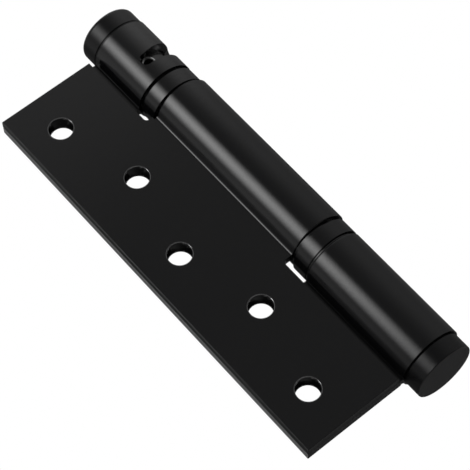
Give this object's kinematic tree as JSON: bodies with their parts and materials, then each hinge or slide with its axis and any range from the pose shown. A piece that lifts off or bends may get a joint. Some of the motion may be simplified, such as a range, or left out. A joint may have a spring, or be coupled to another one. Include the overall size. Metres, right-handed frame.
{
  "type": "self-closing butt hinge",
  "caption": "Self-closing butt hinge: two leaves with staggered countersunk holes folded shut beside a thick barrel that holds a torsion spring, its tension collar and thrust bearings.",
  "frame": {"origin": "centre of the jamb leaf's seat face, at half of the leaf's height and width", "axes": "+Y out of the jamb leaf's seat face, +X from the leaves to the barrel, +Z along the barrel towards the end with the tension window"},
  "size_m": [0.0507, 0.0185, 0.1388],
  "materials": {
    "black_paint": "smooth semi-gloss black stoving paint on steel",
    "blackened_steel": "turned steel, blackened and oiled",
    "bright_steel": "turned bright steel",
    "brass": "plain turned brass",
    "spring_steel": "oil-tempered spring wire",
    "ball_steel": "polished bearing balls"
  },
  "bodies": {
    "jamb": {"jamb_leaf": "black_paint", "top_cap": "black_paint", "bottom_cap": "black_paint", "upper_race": "blackened_steel", "lower_race": "blackened_steel", "pivot_post": "bright_steel"},
    "door": {"door_leaf": "black_paint", "upper_ring": "black_paint", "lower_ring": "black_paint", "upper_bush": "brass", "lower_bush": "brass", "spring_anchor": "bright_steel", "upper_ball_1": "ball_steel", "upper_ball_2": "ball_steel", "upper_ball_3": "ball_steel", "upper_ball_4": "ball_steel", "upper_ball_5": "ball_steel", "upper_ball_6": "ball_steel", "upper_ball_7": "ball_steel", "upper_ball_8": "ball_steel", "lower_ball_1": "ball_steel", "lower_ball_2": "ball_steel", "lower_ball_3": "ball_steel", "lower_ball_4": "ball_steel", "lower_ball_5": "ball_steel", "lower_ball_6": "ball_steel", "lower_ball_7": "ball_steel", "lower_ball_8": "ball_steel"},
    "collar": {"tension_collar": "blackened_steel", "stop_pin": "bright_steel", "spring": "spring_steel"}
  },
  "joints": [
    {"name": "hinge_open", "type": "hinge", "parent": "jamb", "child": "door", "pos_m": [0.02605, -0.00255, 0], "axis": [0, 0, 1], "range_deg": [0, 180], "stiffness_Nm_per_rad": 0.6, "springref_deg": -91.67, "deforming": ["spring"]},
    {"name": "tension_adjust", "type": "hinge", "parent": "jamb", "child": "collar", "pos_m": [0.02605, -0.00255, 0], "axis": [0, 0, 1], "range_deg": [-97, 0], "stiffness_Nm_per_rad": 0.6, "springref_deg": 114.59, "deforming": ["spring"]}
  ]
}
